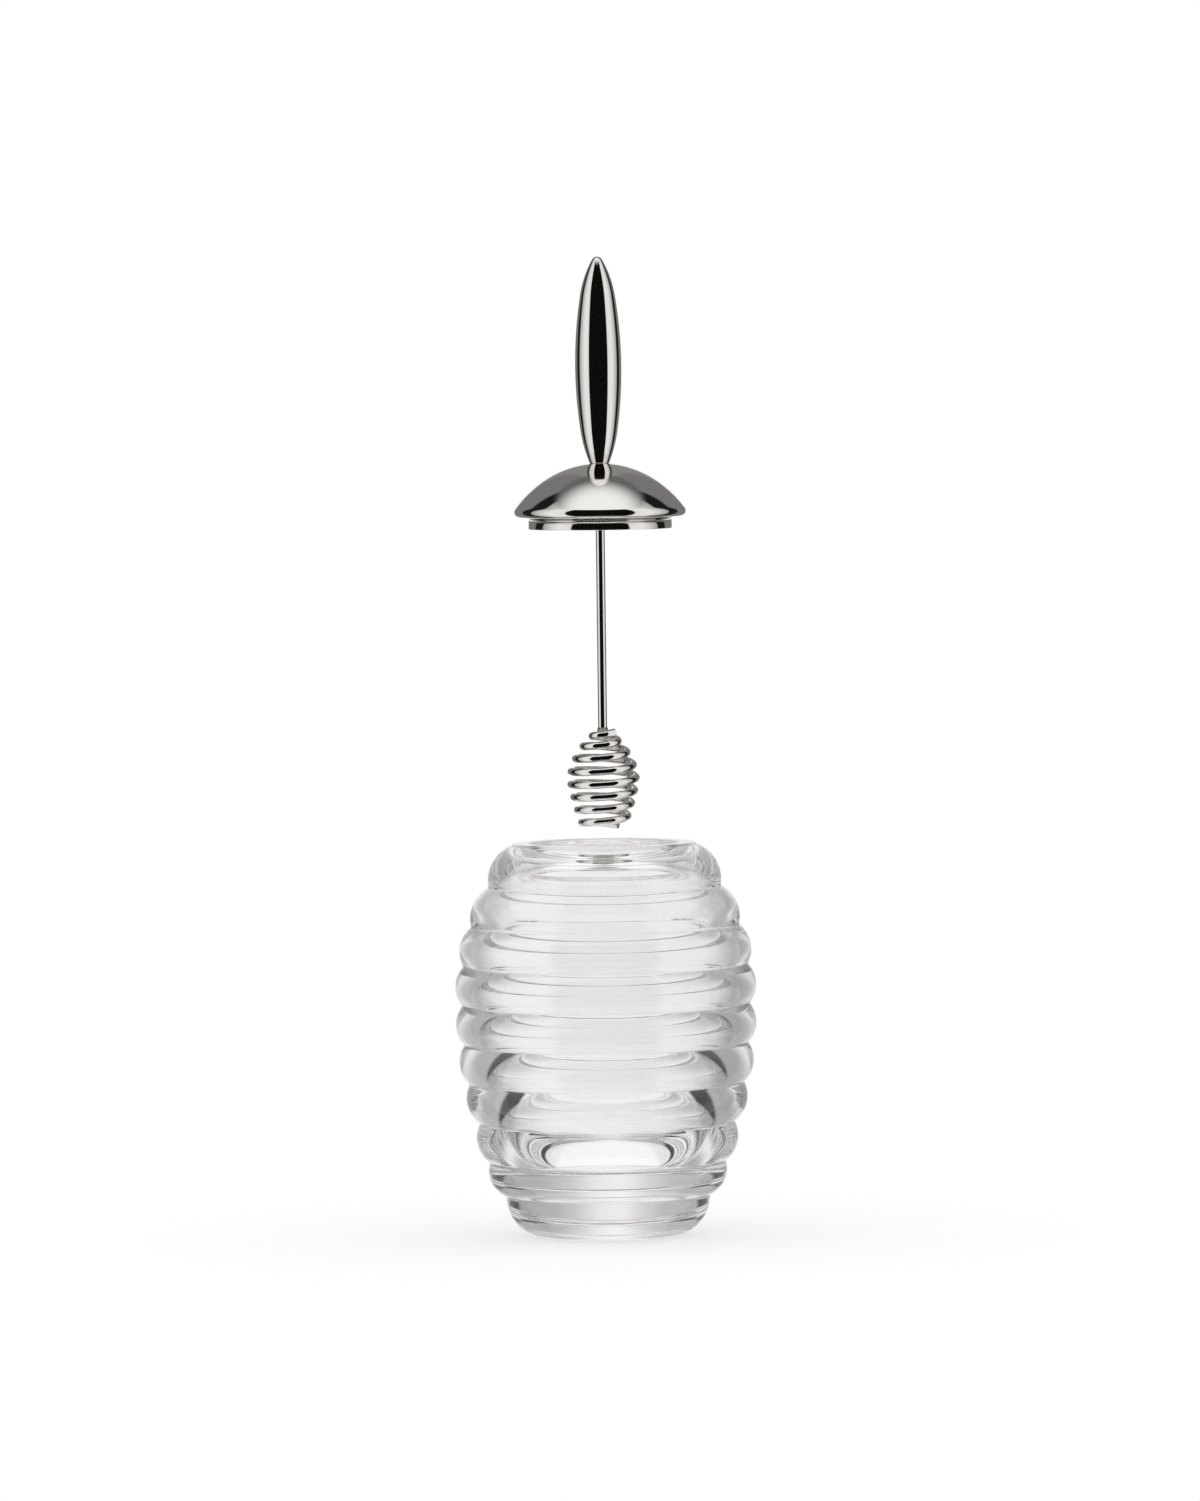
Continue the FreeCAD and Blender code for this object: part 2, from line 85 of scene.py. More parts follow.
def add(tree, kind, inputs=(), **settings):
    """Add a node, set its properties, and fill its inputs with values, with sockets or with other nodes."""
    node = tree.nodes.new(kind)
    for name, setting in settings.items():
        setattr(node, name, setting)
    for socket, value in inputs.items() if isinstance(inputs, dict) else enumerate(inputs):
        source = value.outputs[0] if isinstance(value, bpy.types.Node) else value
        if isinstance(source, bpy.types.NodeSocket):
            tree.links.new(source, node.inputs[socket])
        else:
            node.inputs[socket].default_value = source
    return node


print("middle grey in linear light:", [round(share, 3) for share in srgb("#808080")])

# %% [markdown]
# Polished steel has no colour of its own: it shows the room. Photographers of bright metal therefore build a
# bright room and hang dark cards in it, so that every curve gets a crisp black line beside a light field.
# Lamps and cards could be objects, but they would stand in the way of other views. So the room is painted on
# the world, by direction. Three things are worked out for a direction: how far it turns away from the
# camera's side and its height over the horizon, both in degrees, and how near it is to the middle of the
# soft light, as a cosine. That light hangs overhead, a little in front of the pot.

# %% Directions in the studio
TO_CAMERA, LEVEL = (0, -1, 0), (1, 1, 0)
LIGHT_TILT = math.radians(25)
TO_LIGHT = (0, -math.sin(LIGHT_TILT), math.cos(LIGHT_TILT))

world = bpy.data.worlds.new("studio")
bpy.context.scene.world = world
world.use_nodes = True
studio = world.node_tree
studio.nodes.clear()
heading = add(studio, "ShaderNodeTexCoord").outputs["Generated"]
axes = add(studio, "ShaderNodeSeparateXYZ", [heading]).outputs
level = add(studio, "ShaderNodeVectorMath", [heading, LEVEL], operation="MULTIPLY")
level_heading = add(studio, "ShaderNodeVectorMath", [level], operation="NORMALIZE")
facing = add(studio, "ShaderNodeVectorMath", [level_heading, TO_CAMERA], operation="DOT_PRODUCT")
turn_angle = add(studio, "ShaderNodeMath", [facing.outputs["Value"]], operation="ARCCOSINE")
turn = add(studio, "ShaderNodeMath", [turn_angle], operation="DEGREES")
height_angle = add(studio, "ShaderNodeMath", [axes["Z"]], operation="ARCSINE")
height = add(studio, "ShaderNodeMath", [height_angle], operation="DEGREES")
overhead = add(studio, "ShaderNodeVectorMath", [heading, TO_LIGHT], operation="DOT_PRODUCT").outputs["Value"]
print(f"studio: soft light {math.degrees(LIGHT_TILT):.0f} degrees in front of straight up")

# %% [markdown]
# Round the pot stand walls, whose brightness is listed by turn in degrees: the camera's own black flag at 0,
# soft boxes at the sides, dark strips behind them, and the back wall up to 180. A colour ramp holds such a
# list in one node. Glass is bright when the room behind it is bright, so it gets gentler walls than metal.

# %% Walls of the studio
HALF_TURN = 180.0
METAL_WALLS = [
    (0, 0.004), (46.5, 0.004), (49.5, 0.85), (72, 0.92), (92, 0.62), (104, 0.40),
    (107, 0.012), (126, 0.012), (130, 0.20), (163, 0.20), (168, 0.26),
]
GLASS_WALLS = [
    (0, 0.20), (44, 0.20), (50, 0.88), (104, 0.88), (108, 0.05), (126, 0.05),
    (131, 0.48), (145, 0.48), (158, 0.52), (166, 0.69), (172, 0.86), (176, 0.96),
]


def walls(stops):
    """Brightness by turn, changing evenly from one listed place to the next."""
    share = add(studio, "ShaderNodeMath", [turn, HALF_TURN], operation="DIVIDE")
    ramp = add(studio, "ShaderNodeValToRGB", [share])
    elements = ramp.color_ramp.elements
    elements.remove(elements[1])
    for degrees, brightness in stops:
        stop = elements[0] if degrees == 0 else elements.new(degrees / HALF_TURN)
        stop.color = (brightness, brightness, brightness, 1)
    return ramp


print("walls:", len(METAL_WALLS), "places listed for metal and", len(GLASS_WALLS), "for glass")

# %% [markdown]
# Metal sees a table under the walls, a dim ceiling with the soft light over them, and a low white sheet
# behind the pot. Glass sees white over and under its walls, which are a little dimmer on the right than on
# the left. The camera and all dull surfaces see plain white, so the background is white and colours stay
# true. The light path says which of these a ray is for: only glass has no roughness at all, so a ray that
# is bent, or mirrored perfectly sharply, is a ray in glass.

# %% Brightness of the studio
METAL_FOOT, METAL_TOP = -56.0, 55.0
GLASS_FOOT, GLASS_TOP = -51.0, 47.0
EDGE = 4.0
SHEET_TURN, SHEET_TOP = 164.0, 12.0
TABLE, CEILING, PAPER, WHITE = 0.4, 0.14, 0.95, 1.0
LIGHT_EDGE, LIGHT_CORE = 0.62, 0.95
RIGHT_SIDE, SIDE_BLEND = 0.86, 0.2
SMOOTH = {"interpolation_type": "SMOOTHSTEP"}


def between(foot, top, low, middle, high):
    """Brightness by height: low under the walls' foot, middle along them, high over their top."""
    over = add(studio, "ShaderNodeMapRange", [height, top - EDGE, top + EDGE], **SMOOTH)
    under = add(studio, "ShaderNodeMapRange", [height, foot - EDGE, foot + EDGE, 1.0, 0.0], **SMOOTH)
    upper = add(studio, "ShaderNodeMix", {"Factor": over, "A": middle, "B": high})
    return add(studio, "ShaderNodeMix", {"Factor": under, "A": upper, "B": low})


past_edge = add(studio, "ShaderNodeMapRange", [turn, SHEET_TURN, SHEET_TURN + EDGE], **SMOOTH)
under_top = add(studio, "ShaderNodeMapRange", [height, SHEET_TOP, SHEET_TOP + EDGE, 1.0, 0.0], **SMOOTH)
on_sheet = add(studio, "ShaderNodeMath", [past_edge, under_top], operation="MULTIPLY")
behind = add(studio, "ShaderNodeMix", {"Factor": on_sheet, "A": walls(METAL_WALLS), "B": PAPER})
soft_light = add(studio, "ShaderNodeMapRange", [overhead, LIGHT_EDGE, LIGHT_CORE, CEILING, WHITE], **SMOOTH)
in_metal = between(METAL_FOOT, METAL_TOP, TABLE, behind, soft_light)

across = [axes["X"], -SIDE_BLEND, SIDE_BLEND, WHITE, RIGHT_SIDE]
side = add(studio, "ShaderNodeMapRange", across, **SMOOTH)
by_side = add(studio, "ShaderNodeMath", [walls(GLASS_WALLS), side], operation="MULTIPLY")
in_glass = between(GLASS_FOOT, GLASS_TOP, WHITE, by_side, WHITE)

ray = add(studio, "ShaderNodeLightPath").outputs
through, sharp, glossy = (ray[f"Is {kind} Ray"] for kind in ("Transmission", "Singular", "Glossy"))
by_glass = add(studio, "ShaderNodeMath", [through, sharp], operation="MAXIMUM")
mirrored = add(studio, "ShaderNodeMath", [through, glossy], operation="MAXIMUM")
room = add(studio, "ShaderNodeMix", {"Factor": by_glass, "A": in_metal, "B": in_glass})
light = add(studio, "ShaderNodeMix", {"Factor": mirrored, "A": WHITE, "B": room})
background = add(studio, "ShaderNodeBackground", {"Color": srgb("#ffffff"), "Strength": light})
add(studio, "ShaderNodeOutputWorld", {"Surface": background})
print("studio:", len(studio.nodes), "nodes")

# %% [markdown]
# The pot stands on white paper. A large sheet would show a horizon, so this one is small and round. Its
# surface is part matt and part a painted glow: near the pot the matt part takes the soft shadow, which the
# glow makes lighter, and towards its edge the glow takes over, so it fades into the white of the room. It
# lies a tenth of a millimetre under the jar, because glass and paper in one plane would flicker. Steel and
# glass see the room instead of the paper.

# %% Floor
FLOOR_RADIUS, FLOOR_GAP, FLOOR_SIDES = 280 * MM, 0.1 * MM, 128
# The paper's painted glow grows from its least share near the pot, at the first radius, to all of its light
# at the second.
GLOW_START, GLOW_END, LEAST_GLOW = 40 * MM, 0.7 * FLOOR_RADIUS, 0.65


def new_material(name):
    """A material with an empty tree of nodes. Returns both."""
    material = bpy.data.materials.new(name)
    material.use_nodes = True
    material.node_tree.nodes.clear()
    return material, material.node_tree


bpy.ops.mesh.primitive_circle_add(
    vertices=FLOOR_SIDES, radius=FLOOR_RADIUS, fill_type="NGON", location=(0, 0, -FLOOR_GAP)
)
floor = bpy.context.object
floor.name = "floor_sheet"
floor.visible_glossy = False
floor.visible_transmission = False
paper, tree = new_material("glowing_white_paper")
spot = add(tree, "ShaderNodeTexCoord").outputs["Object"]
from_pot = add(tree, "ShaderNodeVectorMath", [spot], operation="LENGTH").outputs["Value"]
# Painted glow: the emission is a glow painted on the paper, 65 per cent of its light near the pot and all of
# it towards the edge, so the real shadow under the pot shows at only about a third of its depth.
glow_share = add(tree, "ShaderNodeMapRange", [from_pot, GLOW_START, GLOW_END, LEAST_GLOW, WHITE], **SMOOTH)
matt = add(tree, "ShaderNodeBsdfDiffuse", {"Color": srgb("#fafafa")})
paper_glow = add(tree, "ShaderNodeEmission")
add(tree, "ShaderNodeOutputMaterial", {"Surface": add(tree, "ShaderNodeMixShader", [glow_share, matt, paper_glow])})
floor.data.materials.append(paper)
print(f"floor: paper {2 * FLOOR_RADIUS:.2f} m across")

# %% [markdown]
# The jar is soda-lime glass, cleared of its green and pressed hot into a mould. What it gives the eye is bent
# light: almost nothing where it is seen face on, and dark lines where it bends the dark cards into view. A
# thin see-through shader would lose that, so the glass is solid and refracts, with the usual index of 1.5.
# Its colour is a breath of warm grey. Pressed glass is never quite flat: it ripples by about two hundredths
# of a millimetre over a centimetre and a half, and a weak bump makes the reflections swim a little.

# %% Clear glass
GLASS_INDEX = 1.5
RIPPLE_WIDTH, RIPPLE_DEPTH, RIPPLE_STRENGTH = 14.3 * MM, 1 * MM, 0.02

glass, tree = new_material("clear_pressed_glass")
place = add(tree, "ShaderNodeTexCoord").outputs["Object"]
noise = add(tree, "ShaderNodeTexNoise", {"Vector": place, "Scale": 1 / RIPPLE_WIDTH, "Detail": 1.0})
ripple = {"Height": noise.outputs["Fac"], "Strength": RIPPLE_STRENGTH, "Distance": RIPPLE_DEPTH}
glass_look = {
    "Base Color": srgb("#fdfcfc"), "Roughness": 0.0, "IOR": GLASS_INDEX, "Transmission Weight": 1.0,
    "Normal": add(tree, "ShaderNodeBump", ripple),
}
add(tree, "ShaderNodeOutputMaterial", {"Surface": add(tree, "ShaderNodeBsdfPrincipled", glass_look)})
print("glass:", glass.name, "with", len(tree.nodes), "nodes")

# %% [markdown]
# Bright stainless steel is buffed on a turning lathe, so the last faint lines run round the piece. To the eye
# it is a mirror that is a little softer in some rings than in others. A noise that is read by radius and
# height gives such rings on any turned piece. Real lines are finer than a tenth of a millimetre; these are
# drawn up to half a millimetre wide, so that they show.
# Plain steel, on the pieces inside the lid, has the same lines and is much duller. Braze is metal that ran
# and set: grey, with a fine grain that breaks up its shine.

# %% Metals
NOISE_LOW, NOISE_HIGH = 0.3, 0.7
GRAIN_WIDTH, GRAIN_DEPTH, GRAIN_STRENGTH = 0.4 * MM, 0.05 * MM, 0.2


def turned_steel(name, colour, smooth, rough, line_width):
    """Steel with lathe lines: roughness between two values, in rings about line_width metres wide."""
    material, tree = new_material(name)
    place = add(tree, "ShaderNodeTexCoord").outputs["Object"]
    x, y, z = add(tree, "ShaderNodeSeparateXYZ", [place]).outputs
    flat = add(tree, "ShaderNodeCombineXYZ", [x, y])
    from_axis = add(tree, "ShaderNodeVectorMath", [flat], operation="LENGTH")
    ring = add(tree, "ShaderNodeCombineXYZ", {"X": from_axis.outputs["Value"], "Z": z})
    lines = add(tree, "ShaderNodeTexNoise", {"Vector": ring, "Scale": 1 / line_width, "Detail": 2.0})
    spread = add(tree, "ShaderNodeMapRange", [lines.outputs["Fac"], NOISE_LOW, NOISE_HIGH, smooth, rough])
    look = {"Base Color": srgb(colour), "Metallic": 1.0, "Roughness": spread}
    add(tree, "ShaderNodeOutputMaterial", {"Surface": add(tree, "ShaderNodeBsdfPrincipled", look)})
    return material


def grainy_braze(name, colour, smooth, rough):
    """Braze with a cast grain, which varies its roughness between two values and raises its skin."""
    material, tree = new_material(name)
    place = add(tree, "ShaderNodeTexCoord").outputs["Object"]
    noise = add(tree, "ShaderNodeTexNoise", {"Vector": place, "Scale": 1 / GRAIN_WIDTH, "Detail": 3.0})
    grain = noise.outputs["Fac"]
    spread = add(tree, "ShaderNodeMapRange", [grain, NOISE_LOW, NOISE_HIGH, smooth, rough])
    skin = add(tree, "ShaderNodeBump", {"Height": grain, "Strength": GRAIN_STRENGTH, "Distance": GRAIN_DEPTH})
    look = {"Base Color": srgb(colour), "Metallic": 1.0, "Roughness": spread, "Normal": skin}
    add(tree, "ShaderNodeOutputMaterial", {"Surface": add(tree, "ShaderNodeBsdfPrincipled", look)})
    return material


bright_steel = turned_steel("polished_steel", "#eeece8", smooth=0.02, rough=0.045, line_width=0.5 * MM)
dull_steel = turned_steel("plain_steel", "#cfcfce", smooth=0.25, rough=0.4, line_width=0.3 * MM)
braze = grainy_braze("braze_metal", "#a9a8a4", smooth=0.2, rough=0.45)
print("metals:", [metal.name for metal in (bright_steel, dull_steel, braze)])

# %% [markdown]
# Almost every piece of the pot is turned, blown or pressed round one axis. Such a piece needs only half an
# outline, drawn in millimetres as complex numbers: the real part is the radius, the imaginary part the
# height. An outline is a list of corners. A corner alone is reached by a straight line; a corner with a
# radius and a turn is reached by an arc that turns left (1) or right (-1). Arcs are used and not a few
# smoothed points, because a mirror shows the smallest flat or kink. Real edges are never sharp, so a corner
# can be softened.

# %% Outlines
# Points lie one step of half a millimetre apart on an arc, and LINE_STEPS such steps apart on a line.
ARC_STEP, LINE_STEPS, LEAST_ARC_STEPS, SOFT_STEPS = 0.5, 6, 6, 6


def along(start, end, radius=None, turn=1, step=ARC_STEP):
    """Points from start (left out) to end, on a line or an arc."""
    chord = end - start
    if radius is None:
        count = max(1, round(abs(chord) / (LINE_STEPS * step)))
        return [start + chord * i / count for i in range(1, count + 1)]
    outward = -1j * chord / abs(chord) * turn
    centre = (start + end) / 2 - outward * math.sqrt(radius**2 - abs(chord / 2) ** 2)
    sweep = cmath.phase((end - centre) / (start - centre))
    count = max(LEAST_ARC_STEPS, math.ceil(abs(sweep) * radius / step))
    return [centre + (start - centre) * cmath.exp(1j * sweep * i / count) for i in range(1, count + 1)]


def outline(corners, closed=False, step=ARC_STEP):
    """Points along a list of corners. A closed outline also runs from the last corner back to the first."""
    corners = [corner if isinstance(corner, tuple) else (corner,) for corner in corners]
    points = [] if closed else [corners[0][0]]
    for before, corner in zip(corners, corners[1:] + corners[:1] if closed else corners[1:]):
        points += along(before[0], *corner, step=step)
    return points


def soften(points, corner, reach):
    """Replace the sharp corner nearest to a place by a curve that starts and ends a reach away from it."""
    at = min(range(len(points)), key=lambda i: abs(points[i] - corner))
    first, last = at, at
    while abs(points[first] - points[at]) < reach:
        first -= 1
    while abs(points[last] - points[at]) < reach:
        last += 1
    sharp = points[at]
    start = sharp + (points[first] - sharp) / abs(points[first] - sharp) * reach
    end = sharp + (points[last] - sharp) / abs(points[last] - sharp) * reach
    shares = [i / SOFT_STEPS for i in range(SOFT_STEPS + 1)]
    curve = [start * (1 - s) ** 2 + sharp * 2 * s * (1 - s) + end * s**2 for s in shares]
    return points[: first + 1] + curve + points[last:]


print("a quarter circle of 10 mm:", len(along(10 + 0j, 10j, 10)), "points")

# %% [markdown]
# Spinning an outline round the Z axis gives the piece. Blender has a Screw modifier for this too, but
# spinning in code leaves a plain mesh at once. The seam and the poles are merged, and the faces are turned
# outwards. The jar's outline has the most points, so it gets fewer steps round than the steel, and the thin
# rod needs fewer still. Each drawn piece gets its material, stands for a measured one, which is hidden, and
# rides on its body.

# %% Turning
AROUND, AROUND_JAR, AROUND_ROD = 192, 168, 64
MERGE_DISTANCE = 1e-7


def turned(name, points, material, closed=False, lift=0.0, around=AROUND):
    """Spin an outline round the Z axis, lifted to its height, both in millimetres, and give it a material."""
    bm = bmesh.new()
    verts = [bm.verts.new((point.real * MM, 0, (point.imag + lift) * MM)) for point in points]
    pairs = list(zip(verts, verts[1:])) + ([(verts[-1], verts[0])] if closed else [])
    edges = [bm.edges.new(pair) for pair in pairs]
    bmesh.ops.spin(bm, geom=edges, axis=(0, 0, 1), angle=2 * math.pi, steps=around, use_merge=True)
    bmesh.ops.remove_doubles(bm, verts=bm.verts, dist=MERGE_DISTANCE)
    bmesh.ops.recalc_face_normals(bm, faces=bm.faces)
    for face in bm.faces:
        face.smooth = True
    mesh = bpy.data.meshes.new(name)
    bm.to_mesh(mesh)
    bm.free()
    mesh.materials.append(material)
    piece = bpy.data.objects.new(name, mesh)
    bpy.context.scene.collection.objects.link(piece)
    print(f"{name}: {len(mesh.polygons)} faces, {len(points)} points in its outline")
    return piece


def place_piece(piece, node, body):
    """Let a drawn piece stand for a measured node, which is hidden, and ride on its body."""
    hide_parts(node)
    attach(piece, body)


print("steps round:", AROUND, "for the lid,", AROUND_JAR, "for the jar,", AROUND_ROD, "for rod and bead")

# %% [markdown]
# The jar's outside is a stack of ten tiers, like an old straw beehive. Each tier is an arc that stands a
# little proud of the line between two grooves, and the grooves lie on a barrel-shaped curve. The tiers could
# be ten rings, but glass shows every seam, so the jar is one spun outline.

# %% Sizes of the jar
JAR_HEIGHT, BELLY_RADIUS = 122.2, 46.7
GROOVE_SHARES = (0.772, 0.890, 0.945, 0.954, 0.943, 0.913, 0.847, 0.783, 0.676)
TOP_GROOVE, BELLY_GROOVE, LOW_GROOVE = 0, 2, 7
LOW_GROOVE_HEIGHT, RIB_PITCH, FOOT_HEIGHT = 23.1, 12.2, 12.6
RIB_BULGE, SHOULDER_BULGE, FOOT_BULGE, ROOF_BULGE = 2.35, 2.8, 3.0, 3.2
MOUTH_RADIUS, MOUTH_ROUND, RIM_RADIUS, RIM_ROUND = 22.9, 1.2, 28.5, 0.6
NECK_HEIGHT, BASE_RADIUS = 5.4, 21.5

heights = [LOW_GROOVE_HEIGHT + RIB_PITCH * step for step in range(LOW_GROOVE, -1, -1)] + [FOOT_HEIGHT]
grooves = [complex(share * BELLY_RADIUS, height) for share, height in zip(GROOVE_SHARES, heights)]
neck_end = complex(MOUTH_RADIUS, JAR_HEIGHT - NECK_HEIGHT)
rim_edge = complex(RIM_RADIUS, JAR_HEIGHT - RIM_ROUND)
base_edge = complex(BASE_RADIUS, 0)
print("jar:", len(grooves), "grooves, the widest", round(2 * max(GROOVE_SHARES) * BELLY_RADIUS, 1), "mm")

# %% [markdown]
# The inside is smooth and narrows to a bowl: the glass is about 4 mm thick at the upper ribs and 22 mm at the
# base. The slanting wall of the bowl mirrors the dark cards of the studio, which gives the lower tiers their
# dark patches. The wall is two arcs that are upright where they meet, level with the third groove. A third
# arc rounds the corner between wall and floor, and touches both.

# %% The bowl inside the jar
WALL, LOW_WALL = 2.0, 13.0
FLOOR_HEIGHT, FLOOR_CORNER = 22.5, 26.0


def level_radius(drop, rise):
    """Radius of an arc that starts upright and moves in by drop over a rise."""
    return (rise**2 + drop**2) / (2 * drop)


belly = grooves[BELLY_GROOVE] - WALL
inner_top = grooves[TOP_GROOVE] - WALL
low = grooves[LOW_GROOVE] - LOW_WALL
upper_radius = level_radius(belly.real - inner_top.real, inner_top.imag - belly.imag)
lower_radius = level_radius(belly.real - low.real, belly.imag - low.imag)
lower_centre = belly - lower_radius
corner_drop = belly.imag - FLOOR_HEIGHT - FLOOR_CORNER
corner_run = math.sqrt((lower_radius - FLOOR_CORNER) ** 2 - corner_drop**2)
corner_centre = lower_centre + complex(corner_run, -corner_drop)
bowl = lower_centre + (corner_centre - lower_centre) * lower_radius / (lower_radius - FLOOR_CORNER)
print(f"bowl: {2 * belly.real:.1f} mm across at most, floor {2 * corner_centre.real:.1f} mm across")

# %% [markdown]
# Now both sides are joined to one outline, from the middle of the bowl's floor up, over the rim and down to
# the middle of the base. Hot glass never fills a groove to a sharp line, so each groove is softened.

# %% Glass jar
GROOVE_SOFT, NECK_SOFT, ROOF_SOFT, BASE_SOFT = 0.7, 1.2, 1.5, 0.8
JAR_STEP = 0.75


def bulging(start, end, bulge, turn):
    """A corner reached by an arc that stands a bulge proud of its chord."""
    return end, (abs(end - start) ** 2 / 4 + bulge**2) / (2 * bulge), turn


jar_corners = [
    complex(0, FLOOR_HEIGHT),
    complex(corner_centre.real, FLOOR_HEIGHT),
    (bowl, FLOOR_CORNER, 1),
    (belly, lower_radius, 1),
    (inner_top, upper_radius, 1),
    bulging(inner_top, neck_end, ROOF_BULGE, 1),
    complex(MOUTH_RADIUS, JAR_HEIGHT - MOUTH_ROUND),
    (complex(MOUTH_RADIUS + MOUTH_ROUND, JAR_HEIGHT), MOUTH_ROUND, -1),
    complex(RIM_RADIUS - RIM_ROUND, JAR_HEIGHT),
    (rim_edge, RIM_ROUND, -1),
    bulging(rim_edge, grooves[TOP_GROOVE], SHOULDER_BULGE, -1),
]
jar_corners += [bulging(upper, lower, RIB_BULGE, -1) for upper, lower in zip(grooves, grooves[1:])]
jar_corners += [bulging(grooves[-1], base_edge, FOOT_BULGE, -1), 0j]
soft_edges = [(groove, GROOVE_SOFT) for groove in grooves]
soft_edges += [(neck_end, NECK_SOFT), (inner_top, ROOF_SOFT), (base_edge, BASE_SOFT)]
jar_outline = outline(jar_corners, step=JAR_STEP)
for edge, reach in soft_edges:
    jar_outline = soften(jar_outline, edge, reach)
jar = turned("jar", jar_outline, glass, around=AROUND_JAR)
place_piece(jar, "glass_jar", "jar")

# %% [markdown]
# The lid's dome is pressed from steel sheet of 0.8 mm and rolled in at its rim. Half a ball would give the
# top but not the rolled rim, so it is an outline too, with both faces of the sheet. All of the lid is
# measured up from its seat, the flat underside of the rim, which rests on the jar. The lid is drawn lifted,
# as in the picture.

# %% Lid dome
LIFT, OVERHANG, SHEET, LIP, DOME_TOP, DOME_EDGE, DOME_SOFT = 100.9, 3.8, 0.8, 1.6, 16.6, 2.4, 0.7
FOOT_RADIUS, FOOT_LAND, ROD_RADIUS = 3.0, 0.2, 1.4
MOUTH_ROOM, FIT = 0.6, 0.1

seat = JAR_HEIGHT + LIFT
lid_radius = MOUTH_RADIUS + OVERHANG
land_radius = FOOT_RADIUS + FOOT_LAND
hole_radius = ROD_RADIUS + FIT
ring_radius = MOUTH_RADIUS - MOUTH_ROOM
flange_radius = ring_radius + FIT
centre_height = (land_radius**2 - lid_radius**2 + DOME_TOP**2 - DOME_EDGE**2) / (2 * (DOME_TOP - DOME_EDGE))
dome_radius = math.hypot(land_radius, DOME_TOP - centre_height)
inner_radius = dome_radius - SHEET
inner_edge = centre_height + math.sqrt(inner_radius**2 - (lid_radius - SHEET) ** 2)
inner_land = math.sqrt(inner_radius**2 - (DOME_TOP - SHEET - centre_height) ** 2)
dome_edge = complex(lid_radius, DOME_EDGE)
dome_outline = outline([
    complex(hole_radius, DOME_TOP),
    complex(land_radius, DOME_TOP),
    (dome_edge, dome_radius, -1),
    complex(lid_radius, LIP),
    (complex(lid_radius - LIP, 0), LIP, -1),
    complex(flange_radius, 0),
    complex(flange_radius, SHEET),
    complex(lid_radius - LIP, SHEET),
    (complex(lid_radius - SHEET, LIP), LIP - SHEET, 1),
    complex(lid_radius - SHEET, inner_edge),
    (complex(inner_land, DOME_TOP - SHEET), inner_radius, 1),
    complex(hole_radius, DOME_TOP - SHEET),
], closed=True)
dome = turned("dome", soften(dome_outline, dome_edge, DOME_SOFT), bright_steel, True, seat)
place_piece(dome, "lid_dome", "lid")

# %% [markdown]
# The locating ring is a short length of polished tube under the dome. It drops into the jar's mouth with
# 0.6 mm of room all round and keeps the lid central. A tube from Blender's menu would have sharp edges, and
# in bright steel a broken edge is what catches the light, so the two lower edges are softened.

# %% Locating ring
RING_DEPTH, RING_WALL, RING_SOFT = 3.6, 0.8, 0.2

ring_corners = [
    complex(ring_radius, SHEET),
    complex(ring_radius - RING_WALL, SHEET),
    complex(ring_radius - RING_WALL, -RING_DEPTH),
    complex(ring_radius, -RING_DEPTH),
]
ring_outline = outline(ring_corners, closed=True)
for corner in ring_corners[2:]:
    ring_outline = soften(ring_outline, corner, RING_SOFT)
ring = turned("mouth_ring", ring_outline, bright_steel, True, seat)
place_piece(ring, "locating_ring", "lid")

# %% [markdown]
# The handle is a solid steel spindle, turned and buffed: a narrow foot, a long swell and a small round tip.
# A stretched ball would be too plain, and smoothed points would ripple in the mirror. So its outline is five
# arcs that run into each other without a corner: each arc's centre lies on the line through the last arc's
# end and centre.

# %% Arcs of the handle
GRIP_RADIUS, HANDLE_LENGTH, TIP_RADIUS, SWELL_HEIGHT = 7.2, 64.0, 1.8, 30.0
FLARE_RADIUS_SHARE, FLARE_HEIGHT_SHARE = 0.655, 0.333
NOSE_RADIUS_SHARE, NOSE_HEIGHT_SHARE = 0.757, 0.647


def agreement(first, second):
    """How far two directions agree, for complex numbers: their dot product."""
    return (first.conjugate() * second).real


foot_edge = complex(FOOT_RADIUS, 0)
widest = complex(GRIP_RADIUS, SWELL_HEIGHT)
flare_width = FOOT_RADIUS + (GRIP_RADIUS - FOOT_RADIUS) * FLARE_RADIUS_SHARE
flare = complex(flare_width, SWELL_HEIGHT * FLARE_HEIGHT_SHARE)
nose_height = SWELL_HEIGHT + (HANDLE_LENGTH - SWELL_HEIGHT) * NOSE_HEIGHT_SHARE
nose = complex(GRIP_RADIUS * NOSE_RADIUS_SHARE, nose_height)
swell_radius = level_radius(GRIP_RADIUS - flare.real, SWELL_HEIGHT - flare.imag)
taper_radius = level_radius(GRIP_RADIUS - nose.real, nose.imag - SWELL_HEIGHT)
flare_out = (flare - widest + swell_radius) / swell_radius
nose_out = (nose - widest + taper_radius) / taper_radius
flare_radius = abs(flare - foot_edge) ** 2 / (2 * agreement(flare_out, flare - foot_edge))
tip_centre = complex(0, HANDLE_LENGTH - TIP_RADIUS)
to_tip = tip_centre - nose
nose_radius = (abs(to_tip) ** 2 - TIP_RADIUS**2) / (2 * (-agreement(nose_out, to_tip) - TIP_RADIUS))
nose_centre = nose - nose_out * nose_radius
tip_edge = tip_centre + (tip_centre - nose_centre) * TIP_RADIUS / (nose_radius - TIP_RADIUS)
arc_radii = [flare_radius, swell_radius, taper_radius, nose_radius, TIP_RADIUS]
print("handle: arcs of", [round(radius, 1) for radius in arc_radii], "mm")

# %% [markdown]
# The handle is drilled from below. The dipper's rod screws into it and clamps the lid together.

# %% Handle
BORE_DEPTH, FOOT_SOFT = 11.0, 0.25

